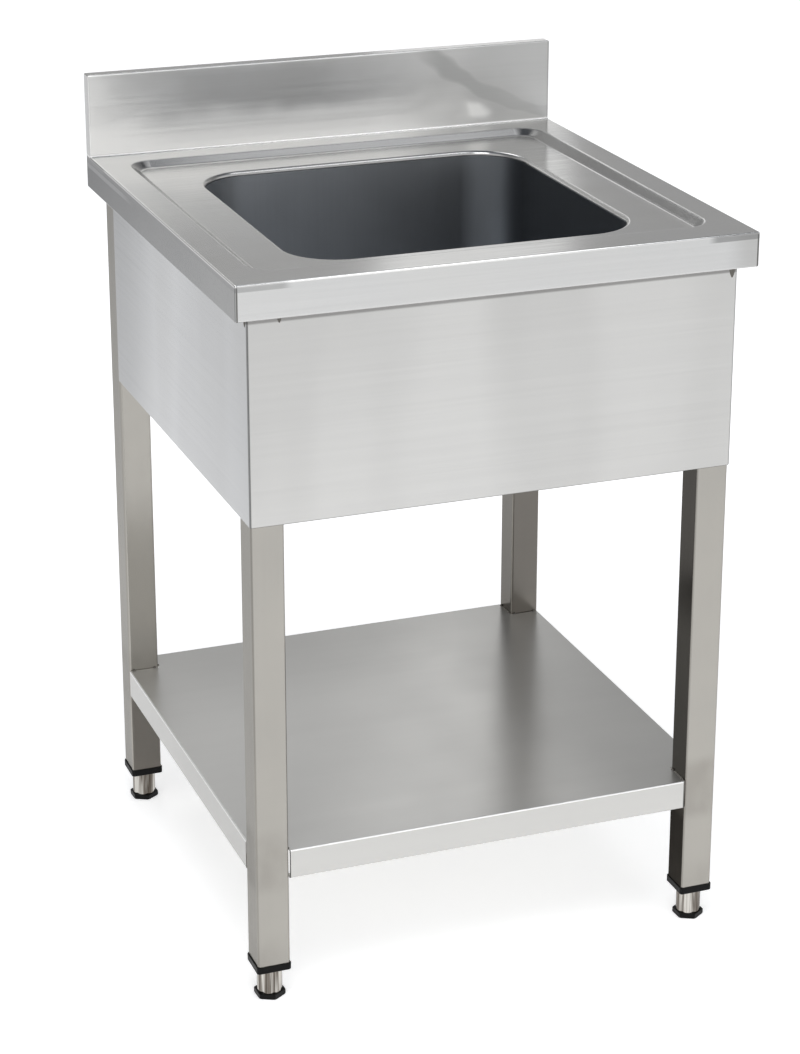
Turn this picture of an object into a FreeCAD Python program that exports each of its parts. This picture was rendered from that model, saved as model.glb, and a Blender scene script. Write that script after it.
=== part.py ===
import FreeCAD, Part
import math
import os

V = FreeCAD.Vector

# Utility sink on an open stand: pressed worktop with an upstand at the rear,
# one deep bowl, a three-sided apron, four square tube legs, a low shelf and
# four screw feet. Millimetres. Front towards -Y, right towards +X, up +Z.
# Origin at the bottom centre of the whole object, on the floor.

# ---------------------------------------------------------------- dimensions
W = 600.0            # overall width
D = 600.0            # overall depth
H = 850.0            # worktop height
UPSTAND = 100.0      # height of the rear upstand above the worktop
UP_T = 18.0          # depth of the folded upstand
EDGE = 40.0          # height of the folded worktop edge
T_TOP = 1.2          # worktop sheet
LIP = 17.0           # return under the worktop edge, up to the apron
HEM = 12.0           # hem at the back of the upstand

RIM_SIDE = 34.0      # flat rim at left and right
RIM_FRONT = 45.0     # flat rim at the front
RIM_REAR = 34.0      # flat rim in front of the upstand
REC_DEPTH = 8.0      # depth of the pressed recess
REC_RUN = 11.0       # horizontal run of the pressed slope
REC_R = 30.0         # outer corner radius of the recess
REC_FIL = 8.0        # radius where the slope meets rim and floor

BOWL_W = 400.0
BOWL_D = 400.0
BOWL_H = 250.0       # from the recess floor to the bowl floor
BOWL_R = 60.0        # vertical corner radius
BOWL_FR = 40.0       # floor radius
BOWL_Y = -16.0       # centre of the bowl in Y
BOWL_T = 1.2
BOWL_LIP_R = 5.0     # rolled edge where the worktop turns down into the bowl
COLLAR = 5.5         # height of that turned-down collar, welded to the bowl just under the rolled edge
DISH_R = 140.0       # shallow fall towards the waste
DISH_H = 3.0
DRAIN_R = 45.0       # hole for the waste

PANEL_X = 283.0      # outer face of the side panels
PANEL_Y = -283.0     # outer face of the front panel
PANEL_T = 1.0
PANEL_Z0 = 575.0     # lower edge of the apron

LEG = 38.0
LEG_T = 1.2
LEG_R = 3.0
LEG_X = 282.0        # outer faces of the legs
LEG_Y0 = -281.0      # front faces of the front legs
LEG_Y1 = 285.0       # rear faces of the rear legs
LEG_Z0 = 45.0
PLATE_T = 3.0

SHELF_Z = 186.0
SHELF_F = 35.0
SHELF_T = 1.0
SHELF_GAP = 1.2      # gap between the shelf's cut corners and the legs

FOOT_R = 14.5        # sleeve
FOOT_T = 1.0
HEX_R = 18.2         # hexagonal base, across corners / 2
HEX_H = 6.0
THREAD_R = 5.95      # M12 spindle
NUT_HOLE_R = 6.05

Z_UND = H - T_TOP                    # underside of the flat rim
Z_REC = H - REC_DEPTH                # recess floor
Z_RECU = Z_REC - T_TOP               # its underside
Z_BOWL = Z_REC - BOWL_H              # bowl floor
Z_COL = Z_REC - COLLAR               # lower end of the collar
LEG_TOP = Z_RECU - PLATE_T

os.makedirs("parts", exist_ok=True)
made = {}


# ------------------------------------------------------------------- helpers
def box(x0, y0, z0, x1, y1, z1):
    return Part.makeBox(x1 - x0, y1 - y0, z1 - z0, V(x0, y0, z0))


def cyl(x, y, z0, z1, r):
    return Part.makeCylinder(r, z1 - z0, V(x, y, z0))


def rrect_wire(x0, y0, x1, y1, r, z):
    """Rounded rectangle as one closed wire at height z."""
    k = r * (1 - math.sqrt(0.5))
    p = lambda x, y: V(x, y, z)
    edges = [
        Part.makeLine(p(x0 + r, y0), p(x1 - r, y0)),
        Part.Arc(p(x1 - r, y0), p(x1 - k, y0 + k), p(x1, y0 + r)).toShape(),
        Part.makeLine(p(x1, y0 + r), p(x1, y1 - r)),
        Part.Arc(p(x1, y1 - r), p(x1 - k, y1 - k), p(x1 - r, y1)).toShape(),
        Part.makeLine(p(x1 - r, y1), p(x0 + r, y1)),
        Part.Arc(p(x0 + r, y1), p(x0 + k, y1 - k), p(x0, y1 - r)).toShape(),
        Part.makeLine(p(x0, y1 - r), p(x0, y0 + r)),
        Part.Arc(p(x0, y0 + r), p(x0 + k, y0 + k), p(x0 + r, y0)).toShape(),
    ]
    return Part.Wire(edges)


def rprism(x0, y0, x1, y1, r, z0, z1):
    face = Part.Face(rrect_wire(x0, y0, x1, y1, r, z0))
    return face.extrude(V(0, 0, z1 - z0))


def poly_face(pts, radii, plane):
    """Closed polygon with rounded corners. pts are (a, b); plane maps a, b to a point."""
    n = len(pts)
    starts, ends, mids = [], [], []
    for i in range(n):
        a, b, c = pts[i - 1], pts[i], pts[(i + 1) % n]
        r = radii[i]
        u = (a[0] - b[0], a[1] - b[1])
        w = (c[0] - b[0], c[1] - b[1])
        lu, lw = math.hypot(*u), math.hypot(*w)
        u, w = (u[0] / lu, u[1] / lu), (w[0] / lw, w[1] / lw)
        if r <= 0:
            starts.append(b)
            ends.append(b)
            mids.append(None)
            continue
        ang = math.acos(max(-1, min(1, u[0] * w[0] + u[1] * w[1])))
        d = r / math.tan(ang / 2)
        s = (b[0] + u[0] * d, b[1] + u[1] * d)
        e = (b[0] + w[0] * d, b[1] + w[1] * d)
        bis = (u[0] + w[0], u[1] + w[1])
        lb = math.hypot(*bis)
        m = r / math.sin(ang / 2) - r
        starts.append(s)
        ends.append(e)
        mids.append((b[0] + bis[0] / lb * m, b[1] + bis[1] / lb * m))
    edges = []
    for i in range(n):
        if mids[i]:
            edges.append(
                Part.Arc(plane(*starts[i]), plane(*mids[i]), plane(*ends[i])).toShape()
            )
        a, b = ends[i], starts[(i + 1) % n]
        if math.hypot(a[0] - b[0], a[1] - b[1]) > 1e-6:
            edges.append(Part.makeLine(plane(*a), plane(*b)))
    return Part.Face(Part.Wire(edges))


def yz(x):
    return lambda a, b: V(x, a, b)


def xz(y):
    return lambda a, b: V(a, y, b)


def xy(z):
    return lambda a, b: V(a, b, z)


def revolve(pts, cx, cy):
    """Closed profile of (r, z) points turned about a vertical axis."""
    p = [V(cx + r, cy, z) for r, z in pts]
    face = Part.Face(Part.makePolygon(p + [p[0]]))
    return face.revolve(V(cx, cy, 0), V(0, 0, 1), 360)


def edges_where(shape, test):
    found = []
    for e in shape.Edges:
        a, b = e.ParameterRange
        pts = [e.valueAt(a + (b - a) * k / 4.0) for k in range(5)]
        if all(test(q) for q in pts):
            found.append(e)
    return found


def hexagon(cx, cy, z0, z1, r, turn=0.0):
    pts = [
        V(
            cx + r * math.cos(math.radians(turn + 60 * k)),
            cy + r * math.sin(math.radians(turn + 60 * k)),
            z0,
        )
        for k in range(6)
    ]
    return Part.Face(Part.makePolygon(pts + [pts[0]])).extrude(V(0, 0, z1 - z0))


def save(name, shape):
    shape = shape.removeSplitter()
    solids = shape.Solids
    if len(solids) == 1:
        shape = solids[0]
    bad = [s for s in solids if not s.isValid() or s.Volume <= 0]
    bb = shape.BoundBox
    print(
        "%-22s solids %d vol %10.1f  x %.1f..%.1f y %.1f..%.1f z %.1f..%.1f%s"
        % (name, len(solids), shape.Volume, bb.XMin, bb.XMax, bb.YMin, bb.YMax,
           bb.ZMin, bb.ZMax, "  BAD" if bad or not solids else "")
    )
    shape.exportStep("parts/%s.step" % name)
    made[name] = shape


# ------------------------------------------------------------------ worktop
# Outer skin: the folded side profile drawn across the whole width, ends rounded.
X0, X1, Y0, Y1 = -W / 2, W / 2, -D / 2, D / 2
YS = Y1 - UP_T                       # face of the upstand
prof = [(Y0, H - EDGE), (Y0, H), (YS, H), (YS, H + UPSTAND), (Y1, H + UPSTAND), (Y1, H - EDGE)]
skin = poly_face(prof, [2.5, 2.5, 2.0, 2.0, 2.0, 2.0], yz(X0)).extrude(V(W, 0, 0))
ends = edges_where(skin, lambda q: abs(abs(q.x) - W / 2) < 1e-6)
skin = skin.makeFillet(1.6, ends)

# Pressed recess: a sloped step with soft radii at its top and foot.
rx0, rx1 = X0 + RIM_SIDE, X1 - RIM_SIDE
ry0, ry1 = Y0 + RIM_FRONT, YS - RIM_REAR


def recess(grow, ztop, zbot, lift):
    outer = rrect_wire(rx0 - grow, ry0 - grow, rx1 + grow, ry1 + grow, REC_R + grow, ztop)
    g = grow - REC_RUN
    inner = rrect_wire(rx0 - g, ry0 - g, rx1 + g, ry1 + g, REC_R + g, zbot)
    body = Part.makeLoft([inner, outer], True, True)
    top = Part.Face(
        rrect_wire(rx0 - grow, ry0 - grow, rx1 + grow, ry1 + grow, REC_R + grow, ztop)
    ).extrude(V(0, 0, lift))
    return body.fuse(top).removeSplitter()


def on_recess(shape, z, grow):
    """Edges of the closed loop around the recess at one height."""
    x0, x1, y0, y1 = rx0 - grow - 0.01, rx1 + grow + 0.01, ry0 - grow - 0.01, ry1 + grow + 0.01
    return edges_where(
        shape,
        lambda q: abs(q.z - z) < 1e-4 and x0 <= q.x <= x1 and y0 <= q.y <= y1,
    )


theta = math.atan2(REC_DEPTH, REC_RUN)
off = T_TOP * math.tan(theta / 2)
skin = skin.cut(recess(0.0, H, Z_REC, 5.0))
skin = skin.makeFillet(REC_FIL, on_recess(skin, H, 0.0))
skin = skin.makeFillet(REC_FIL, on_recess(skin, Z_REC, 0.0))

bx0, bx1 = -BOWL_W / 2, BOWL_W / 2
by0, by1 = BOWL_Y - BOWL_D / 2, BOWL_Y + BOWL_D / 2
skin = skin.cut(rprism(bx0, by0, bx1, by1, BOWL_R, H - EDGE - 5, H + 5))
skin = skin.makeFillet(
    BOWL_LIP_R,
    edges_where(
        skin,
        lambda q: abs(q.z - Z_REC) < 1e-4
        and bx0 - 0.01 <= q.x <= bx1 + 0.01
        and by0 - 0.01 <= q.y <= by1 + 0.01,
    ),
)

# Inner void: the same shape one sheet thickness inside.
t = T_TOP
vprof = [
    (Y0 + t, H - EDGE + t), (Y0 + t, H - t), (YS + t, H - t),
    (YS + t, H + UPSTAND - t), (Y1 - t, H + UPSTAND - t), (Y1 - t, H - EDGE + t),
]
void = poly_face(vprof, [1.3, 1.3, 2.0 + t, 0.8, 0.8, 0.8], yz(X0 + t)).extrude(
    V(W - 2 * t, 0, 0)
)
void = void.cut(recess(off, Z_UND, Z_RECU, 5.0))
void = void.makeFillet(REC_FIL - t, on_recess(void, Z_UND, off))
void = void.makeFillet(REC_FIL + t, on_recess(void, Z_RECU, off))
void = void.cut(
    rprism(bx0 - t, by0 - t, bx1 + t, by1 + t, BOWL_R + t, Z_COL, H + 5)
)
void = void.makeFillet(
    BOWL_LIP_R - t,
    edges_where(
        void,
        lambda q: abs(q.z - Z_RECU) < 1e-4
        and bx0 - t - 0.01 <= q.x <= bx1 + t + 0.01
        and by0 - t - 0.01 <= q.y <= by1 + t + 0.01,
    ),
)
under = box(X0 + LIP, Y0 + LIP, H - EDGE - 2, X1 - LIP, Y1 + 2, H - EDGE + t + 1)
behind = box(X0 + HEM, Y1 - t - 1, H - EDGE - 2, X1 - HEM, Y1 + 2, H + UPSTAND - HEM)
worktop = skin.cut(void).cut(under).cut(behind)
save("worktop", worktop)

# --------------------------------------------------------------------- bowl
def bowl_form(grow, z_floor, z_top):
    g = grow
    s = rprism(bx0 - g, by0 - g, bx1 + g, by1 + g, BOWL_R + g, z_floor, z_top)
    s = s.makeFillet(
        BOWL_FR + g, edges_where(s, lambda q: abs(q.z - z_floor) < 1e-6)
    )
    dish = Part.makeCone(62.0, DISH_R, DISH_H, V(0, BOWL_Y, z_floor - DISH_H))
    return s.fuse(dish)


bt = BOWL_T
bowl = bowl_form(bt, Z_BOWL - bt, Z_COL).cut(bowl_form(0.0, Z_BOWL, Z_COL + 1.0))
bowl = bowl.cut(cyl(0, BOWL_Y, Z_BOWL - 30, Z_BOWL + 5, DRAIN_R))
save("bowl", bowl)

# ------------------------------------------------------------------- apron
PT = PANEL_T
leg_in_x = LEG_X - LEG               # inner face of a leg
leg_in_y0 = LEG_Y0 + LEG             # rear face of the front legs
leg_in_y1 = LEG_Y1 - LEG             # front face of the rear legs

# Front panel: a flat face, hem below between the legs, flange above.
fx = PANEL_X - 1.3                   # ends short of the side panels' faces, so an open seam shows
fp = [
    (PANEL_Y, PANEL_Z0), (PANEL_Y, Z_UND), (PANEL_Y + 20, Z_UND), (PANEL_Y + 20, Z_UND - PT),
    (PANEL_Y + PT, Z_UND - PT), (PANEL_Y + PT, PANEL_Z0 + PT),
    (PANEL_Y + 12, PANEL_Z0 + PT), (PANEL_Y + 12, PANEL_Z0),
]
front = poly_face(fp, [1.8, 1.5, 0, 0, 0.5, 0.8, 0, 0], yz(-fx)).extrude(V(2 * fx, 0, 0))
hem_cut = lambda s: box(
    min(s * (leg_in_x - 1), s * (fx + 5)), PANEL_Y + PT, PANEL_Z0 - 1,
    max(s * (leg_in_x - 1), s * (fx + 5)), PANEL_Y + 30, PANEL_Z0 + 6,
)
top_cut = lambda s: box(
    min(s * (leg_in_x + 20), s * (fx + 5)), PANEL_Y + PT, Z_UND - 6,
    max(s * (leg_in_x + 20), s * (fx + 5)), PANEL_Y + 30, Z_UND + 1,
)
front = front.cut(hem_cut(1)).cut(hem_cut(-1)).cut(top_cut(1)).cut(top_cut(-1))
save("front_panel", front)


def side_panel(s):
    """Side panel with a top flange, a lower hem and a front return behind the front panel."""
    yf = PANEL_Y + PT                # plane behind the front panel
    yr = leg_in_y1 - 0.3
    sp = [
        (-PANEL_X, PANEL_Z0), (-PANEL_X, Z_UND), (-PANEL_X + 12, Z_UND),
        (-PANEL_X + 12, Z_UND - PT), (-PANEL_X + PT, Z_UND - PT),
        (-PANEL_X + PT, PANEL_Z0 + PT), (-PANEL_X + 12, PANEL_Z0 + PT), (-PANEL_X + 12, PANEL_Z0),
    ]
    p = poly_face(sp, [1.8, 1.5, 0, 0, 0.5, 0.8, 0, 0], xz(yf)).extrude(V(0, yr - yf, 0))
    # flange and hem stop short of the front leg
    p = p.cut(box(-PANEL_X + PT, yf - 1, PANEL_Z0 - 1, -PANEL_X + 30, leg_in_y0 + 1, PANEL_Z0 + 6))
    p = p.cut(box(-PANEL_X + PT, yf - 1, Z_UND - 6, -PANEL_X + 30, yf + 24, Z_UND + 1))
    # front return, 12 mm wide and one sheet thick
    ret = box(-PANEL_X, yf, PANEL_Z0 + 2, -PANEL_X + 12, yf + PT, Z_UND - 2)
    p = p.fuse(ret).removeSplitter()
    corner = edges_where(
        p, lambda q: abs(q.x + PANEL_X) < 1e-6 and abs(q.y - yf) < 1e-6
    )
    if corner:
        try:
            p = p.makeFillet(0.9, [e for e in corner if e.Length > 100])
        except Exception as err:
            print("corner left sharp:", err)
    # the hem and flange end at the rear leg
    if s > 0:
        p = p.mirror(V(0, 0, 0), V(1, 0, 0))
    return p


save("left_panel", side_panel(-1))
save("right_panel", side_panel(1))

# Rear rail: channel between the rear legs, open towards the bowl.
RAIL_Z0, RAIL_Z1 = 772.0, 837.0
rl = [
    (LEG_Y1, RAIL_Z0), (LEG_Y1, RAIL_Z1), (LEG_Y1 - 22, RAIL_Z1), (LEG_Y1 - 22, RAIL_Z1 - 1.2),
    (LEG_Y1 - 1.2, RAIL_Z1 - 1.2), (LEG_Y1 - 1.2, RAIL_Z0 + 1.2),
    (LEG_Y1 - 22, RAIL_Z0 + 1.2), (LEG_Y1 - 22, RAIL_Z0),
]
rail = poly_face(rl, [2, 2, 0, 0, 0.8, 0.8, 0, 0], yz(-leg_in_x)).extrude(
    V(2 * leg_in_x, 0, 0)
)
RAIL_SCREWS = [(272.0, 790.0), (272.0, 819.0)]
TAB = 1.2
screws = []
leg_holes = []
for s in (-1, 1):
    a, b = sorted((s * leg_in_x, s * (leg_in_x - TAB)))
    rail = rail.fuse(box(a, LEG_Y1 - 20, RAIL_Z0 + 1.0, b, LEG_Y1 - 1.0, RAIL_Z1 - 1.0))
    for (qy, qz) in RAIL_SCREWS:
        out = V(s, 0, 0)
        rail = rail.cut(Part.makeCylinder(1.98, 4, V(s * (leg_in_x - 3), qy, qz), out))
        leg_holes.append((s, Part.makeCylinder(1.95, 4, V(s * (leg_in_x - 1), qy, qz), out)))
        head = Part.makeCylinder(4.2, 2.2, V(s * (leg_in_x - TAB - 2.2), qy, qz), out)
        head = head.makeFillet(
            1.2,
            edges_where(head, lambda q: abs(abs(q.x) - (leg_in_x - TAB - 2.2)) < 1e-6),
        )
        slot = box(-0.5, -4.5, -0.5, 0.5, 4.5, 0.5)
        cross = slot.fuse(box(-0.5, -0.5, -4.5, 0.5, 0.5, 4.5))
        cross = cross.common(box(-0.7, -2.4, -2.4, 0.7, 2.4, 2.4))
        cross.translate(V(s * (leg_in_x - TAB - 2.2), qy, qz))
        shank = Part.makeCylinder(1.9, 7.0, V(s * (leg_in_x - TAB - 0.5), qy, qz), out)
        tip = Part.makeCone(1.9, 0.4, 3.0, V(s * (leg_in_x - TAB + 6.5), qy, qz), out)
        screws.append(head.fuse(shank).fuse(tip).cut(cross).removeSplitter())
save("rear_rail", rail)
save("rail_screws", Part.makeCompound(screws))

# --------------------------------------------------------------------- legs
corners = {
    "fl": (-LEG_X, LEG_Y0, 1, 1),
    "fr": (LEG_X, LEG_Y0, -1, 1),
    "rl": (-LEG_X, LEG_Y1, 1, -1),
    "rr": (LEG_X, LEG_Y1, -1, -1),
}
centre = {}
for key, (ox, oy, sx, sy) in corners.items():
    ax0, ax1 = sorted((ox, ox + sx * LEG))
    ay0, ay1 = sorted((oy, oy + sy * LEG))
    centre[key] = ((ax0 + ax1) / 2, (ay0 + ay1) / 2)
    tube = rprism(ax0, ay0, ax1, ay1, LEG_R, LEG_Z0, LEG_TOP)
    tube = tube.cut(
        rprism(ax0 + LEG_T, ay0 + LEG_T, ax1 - LEG_T, ay1 - LEG_T, LEG_R - LEG_T,
               LEG_Z0 - 1, LEG_TOP + 1)
    )
    if key in ("rl", "rr"):
        for s, hole in leg_holes:
            if s * ox > 0:
                tube = tube.cut(hole)
    save("leg_" + key, tube)

# Plates welded on the leg tops; a threaded stud under the worktop goes through each.
STUD_IN = 15.0                       # stud distance inwards from the leg's inner face
stud_at = {}
for key, (ox, oy, sx, sy) in corners.items():
    px, py = ox + sx * (LEG + 29), oy + sy * (LEG + 29)
    a, b = sorted((ox, px)), sorted((oy, py))
    plate = box(a[0], b[0], LEG_TOP, a[1], b[1], Z_RECU)
    inner = edges_where(
        plate, lambda q: abs(q.x - px) < 1e-6 and abs(q.y - py) < 1e-6
    )
    plate = plate.makeChamfer(16.0, inner)
    outer = edges_where(
        plate, lambda q: abs(q.x - ox) < 1e-6 and abs(q.y - oy) < 1e-6
    )
    plate = plate.makeFillet(LEG_R, outer)
    hx, hy = ox + sx * (LEG + STUD_IN), oy + sy * (LEG + STUD_IN)
    stud_at[key] = (hx, hy)
    plate = plate.cut(cyl(hx, hy, LEG_TOP - 1, Z_RECU + 1, 3.3))
    save("corner_plate_" + key, plate)

studs, washers, nuts = [], [], []
for key, (hx, hy) in stud_at.items():
    st = cyl(hx, hy, LEG_TOP - 16, Z_RECU, 2.95)
    studs.append(st.makeChamfer(0.6, edges_where(st, lambda q: abs(q.z - (LEG_TOP - 16)) < 1e-6)))
    washers.append(cyl(hx, hy, LEG_TOP - 1.6, LEG_TOP, 8.0).cut(cyl(hx, hy, LEG_TOP - 3, LEG_TOP + 1, 3.2)))
    nut = hexagon(hx, hy, LEG_TOP - 6.8, LEG_TOP - 1.6, 5.77)
    nut = nut.common(
        revolve([(0, LEG_TOP - 6.8), (5.1, LEG_TOP - 6.8), (5.8, LEG_TOP - 6.3), (5.8, LEG_TOP - 1.6), (0, LEG_TOP - 1.6)], hx, hy)
    )
    nuts.append(nut.cut(cyl(hx, hy, LEG_TOP - 9, LEG_TOP + 1, 3.0)))
save("top_studs", Part.makeCompound(studs))
save("top_washers", Part.makeCompound(washers))
save("top_nuts", Part.makeCompound(nuts))

# -------------------------------------------------------------------- shelf
g = SHELF_GAP
sx_in = leg_in_x - g                 # half width between the legs
sy0, sy1 = leg_in_y0 + g, leg_in_y1 - g
z0, z1 = SHELF_Z - SHELF_F, SHELF_Z
lengthwise = box(-sx_in, LEG_Y0, z0, sx_in, LEG_Y1, z1)
crosswise = box(-LEG_X, sy0, z0, LEG_X, sy1, z1)


def round_shelf(b, test, r=2.0):
    return b.makeFillet(r, edges_where(b, test))


lengthwise = round_shelf(
    lengthwise,
    lambda q: (abs(q.z - z1) < 1e-6 or abs(q.z - z0) < 1e-6)
    and (abs(q.y - LEG_Y0) < 1e-6 or abs(q.y - LEG_Y1) < 1e-6),
)
crosswise = round_shelf(
    crosswise,
    lambda q: (abs(q.z - z1) < 1e-6 or abs(q.z - z0) < 1e-6)
    and abs(abs(q.x) - LEG_X) < 1e-6,
)
st = SHELF_T
shelf = lengthwise.fuse(crosswise)
inner_a = box(-sx_in - 2, LEG_Y0 + st, z0 + st, sx_in + 2, LEG_Y1 - st, z1 - st)
inner_a = round_shelf(
    inner_a,
    lambda q: (abs(q.z - z1 + st) < 1e-6 or abs(q.z - z0 - st) < 1e-6)
    and (abs(q.y - LEG_Y0 - st) < 1e-6 or abs(q.y - LEG_Y1 + st) < 1e-6),
    2.0 - st,
)
inner_b = box(-LEG_X + st, sy0 - 2, z0 + st, LEG_X - st, sy1 + 2, z1 - st)
inner_b = round_shelf(
    inner_b,
    lambda q: (abs(q.z - z1 + st) < 1e-6 or abs(q.z - z0 - st) < 1e-6)
    and abs(abs(q.x) - LEG_X + st) < 1e-6,
    2.0 - st,
)
shelf = shelf.cut(inner_a.fuse(inner_b))
shelf = shelf.cut(box(-LEG_X + 11, LEG_Y0 + 11, z0 - 1, LEG_X - 11, LEG_Y1 - 11, z0 + st + 1))
save("shelf", shelf)

# Hat section under the middle of the shelf.
hz1 = z1 - st
hat = [
    (-36, hz1), (-36, hz1 - 1.2), (-21, hz1 - 1.2), (-18, hz1 - 22), (18, hz1 - 22), (21, hz1 - 1.2),
    (36, hz1 - 1.2), (36, hz1), (19.9, hz1), (16.9, hz1 - 20.8), (-16.9, hz1 - 20.8), (-19.9, hz1),
]
hatf = poly_face([(a + 2, b) for a, b in hat], [0, 0, 0.8, 2, 2, 0.8, 0, 0, 1.5, 0.8, 0.8, 1.5], yz(-255.0))
save("shelf_stiffener", hatf.extrude(V(510.0, 0, 0)))

# Tack welds where the shelf meets the legs, and where the apron meets the worktop edge.
tacks = []
for key, (ox, oy, sx, sy) in corners.items():
    ix, iy = ox + sx * LEG, oy + sy * LEG
    spots = [
        (ix + sx * 0.6, oy + sy * 6.0), (ix + sx * 0.6, iy - sy * 5.0),
        (ox + sx * 6.0, iy + sy * 0.6), (ix - sx * 5.0, iy + sy * 0.6),
    ]
    for (qx, qy) in spots:
        bead = Part.makeSphere(1.9, V(qx, qy, SHELF_Z - 0.2))
        bead = bead.cut(made["leg_" + key]).cut(made["shelf"])
        bead = bead.common(box(qx - 5, qy - 5, SHELF_Z - 0.9, qx + 5, qy + 5, SHELF_Z + 5))
        best = max(bead.Solids, key=lambda s: s.Volume)
        tacks.append(best)
save("shelf_tack_welds", Part.makeCompound(tacks))

beads = []
z_e = H - EDGE


def drop_bead(qx, qy, half, proud, low):
    """Drop of weld that hangs from the worktop edge down a panel face, widest at the edge.
    It is built from flat facets, each level a smaller copy of the one above."""
    side = abs(qx) == PANEL_X
    tall = z_e - low
    outline = [(-half, 0.0), (-0.88 * half, 0.42 * proud), (-0.62 * half, 0.76 * proud), (-0.28 * half, 0.95 * proud),
               (0.28 * half, 0.95 * proud), (0.62 * half, 0.76 * proud), (0.88 * half, 0.42 * proud), (half, 0.0)]
    levels = []
    for down, k in ((0.0, 1.0), (0.30, 0.90), (0.58, 0.72), (0.82, 0.47), (1.0, 0.20)):
        pts = []
        for u, w in outline:
            if side:
                pts.append(V(qx + math.copysign(w * k, qx), qy + u * k, z_e - down * tall))
            else:
                pts.append(V(qx + u * k, qy - w * k, z_e - down * tall))
        levels.append(pts)
    faces = [Part.Face(Part.makePolygon(levels[0] + levels[0][:1])), Part.Face(Part.makePolygon(levels[-1] + levels[-1][:1]))]
    for hi, lo in zip(levels, levels[1:]):
        for i in range(len(hi)):
            j = (i + 1) % len(hi)
            if j:
                faces.append(Part.Face(Part.makePolygon([hi[i], hi[j], lo[j], lo[i], hi[i]])))
    back = [q[0] for q in levels] + [q[-1] for q in reversed(levels)]
    faces.append(Part.Face(Part.makePolygon(back + back[:1])))
    drop = Part.Solid(Part.Shell(faces))
    if drop.Volume < 0:
        drop.reverse()
    return drop


for (qx, qy, half, proud, low) in (
    (276.5, PANEL_Y, 4.2, 1.6, 796.0), (-247.0, PANEL_Y, 3.0, 1.2, 800.5), (15.0, PANEL_Y, 2.4, 1.2, 806.5),
    (-PANEL_X, -276.5, 3.6, 1.4, 797.5), (-PANEL_X, 0.0, 2.4, 1.2, 806.5), (-PANEL_X, 225.0, 2.4, 1.2, 806.5),
    (PANEL_X, -276.5, 3.6, 1.4, 799.0), (PANEL_X, 0.0, 2.4, 1.2, 806.5), (PANEL_X, 225.0, 2.4, 1.2, 806.5),
):
    bead = drop_bead(qx, qy, half, proud, low)
    beads.append(bead)
save("apron_tack_welds", Part.makeCompound(beads))

# --------------------------------------------------------------------- feet
INS_Z0 = 36.8                        # underside of the plastic insert's flange
HUB_TOP = 95.0
SL_TOP = 60.0
SP_TOP = 116.0
for key, (cx, cy) in centre.items():
    # plastic insert: square flange under the tube, square hub inside it
    hf = LEG / 2 + 1.3
    fl = rprism(cx - hf, cy - hf, cx + hf, cy + hf, 3.6, INS_Z0, LEG_Z0)
    fl = fl.makeChamfer(0.8, edges_where(fl, lambda q: abs(q.z - INS_Z0) < 1e-6))
    hh = LEG / 2 - LEG_T - 0.1
    hub = rprism(cx - hh, cy - hh, cx + hh, cy + hh, 1.9, LEG_Z0, HUB_TOP)
    hub = hub.makeChamfer(1.0, edges_where(hub, lambda q: abs(q.z - HUB_TOP) < 1e-6))
    ins = fl.fuse(hub)
    ins = ins.cut(cyl(cx, cy, INS_Z0 - 1, HUB_TOP - 10, FOOT_R + 0.5))
    ins = ins.cut(cyl(cx, cy, HUB_TOP - 12, HUB_TOP + 1, THREAD_R + 0.6))
    ins = ins.cut(hexagon(cx, cy, HUB_TOP - 8, HUB_TOP + 1, 10.97, 30))
    save("foot_insert_" + key, ins.removeSplitter())
    nut = hexagon(cx, cy, HUB_TOP - 8, HUB_TOP, 10.92, 30).cut(
        cyl(cx, cy, HUB_TOP - 9, HUB_TOP + 1, NUT_HOLE_R)
    )
    save("foot_nut_" + key, nut)
    # steel sleeve over the spindle
    sl = cyl(cx, cy, HEX_H, SL_TOP, FOOT_R).cut(
        cyl(cx, cy, HEX_H - 1, SL_TOP + 1, FOOT_R - FOOT_T)
    )
    save("foot_sleeve_" + key, sl)
    # hexagonal base with a spigot inside the sleeve
    hx = hexagon(cx, cy, 0, HEX_H, HEX_R, 33).common(
        revolve([(0, 0), (HEX_R - 0.9, 0), (HEX_R + 0.2, 0.9), (HEX_R + 0.2, HEX_H - 0.4), (HEX_R - 0.3, HEX_H), (0, HEX_H)], cx, cy)
    )
    hx = hx.fuse(cyl(cx, cy, HEX_H - 0.5, 12.0, FOOT_R - FOOT_T - 0.08))
    hx = hx.cut(cyl(cx, cy, 2.0, 13.0, THREAD_R))
    save("foot_base_" + key, hx.removeSplitter())
    sp = cyl(cx, cy, 2.0, SP_TOP, THREAD_R)
    sp = sp.makeChamfer(1.0, edges_where(sp, lambda q: abs(q.z - SP_TOP) < 1e-6))
    save("foot_spindle_" + key, sp)

# -------------------------------------------------------------------- waste
by = BOWL_Y
ZS = Z_BOWL - DISH_H                 # seat of the waste in the bowl floor, top face
ZSU = ZS - BOWL_T                    # its underside
gasket_u = cyl(0, by, ZS, ZS + 1.0, 54.0).cut(cyl(0, by, ZS - 1, ZS + 3, 46.5))
save("waste_gasket_upper", gasket_u)
zr = ZS + 1.0
zf = ZS - 23.0                       # cup floor, top face
flange = revolve(
    [
        (56.0, zr), (56.0, zr + 0.5), (54.6, zr + 1.2), (43.2, zr + 1.2), (41.4, zr + 0.7),
        (40.0, zr - 1.2), (40.0, zf + 2.0), (38.0, zf), (3.2, zf), (3.2, zf - 1.2),
        (38.5, zf - 1.2), (41.2, zf + 1.5), (41.2, zr - 1.4), (42.2, zr - 0.3), (43.4, zr),
    ],
    0, by,
)
for k in range(10):
    a = math.radians(36 * k)
    flange = flange.cut(cyl(22 * math.cos(a), by + 22 * math.sin(a), zf - 3, zf + 3, 4.6))
save("waste_flange", flange)
zg = ZSU - 3.0
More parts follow.
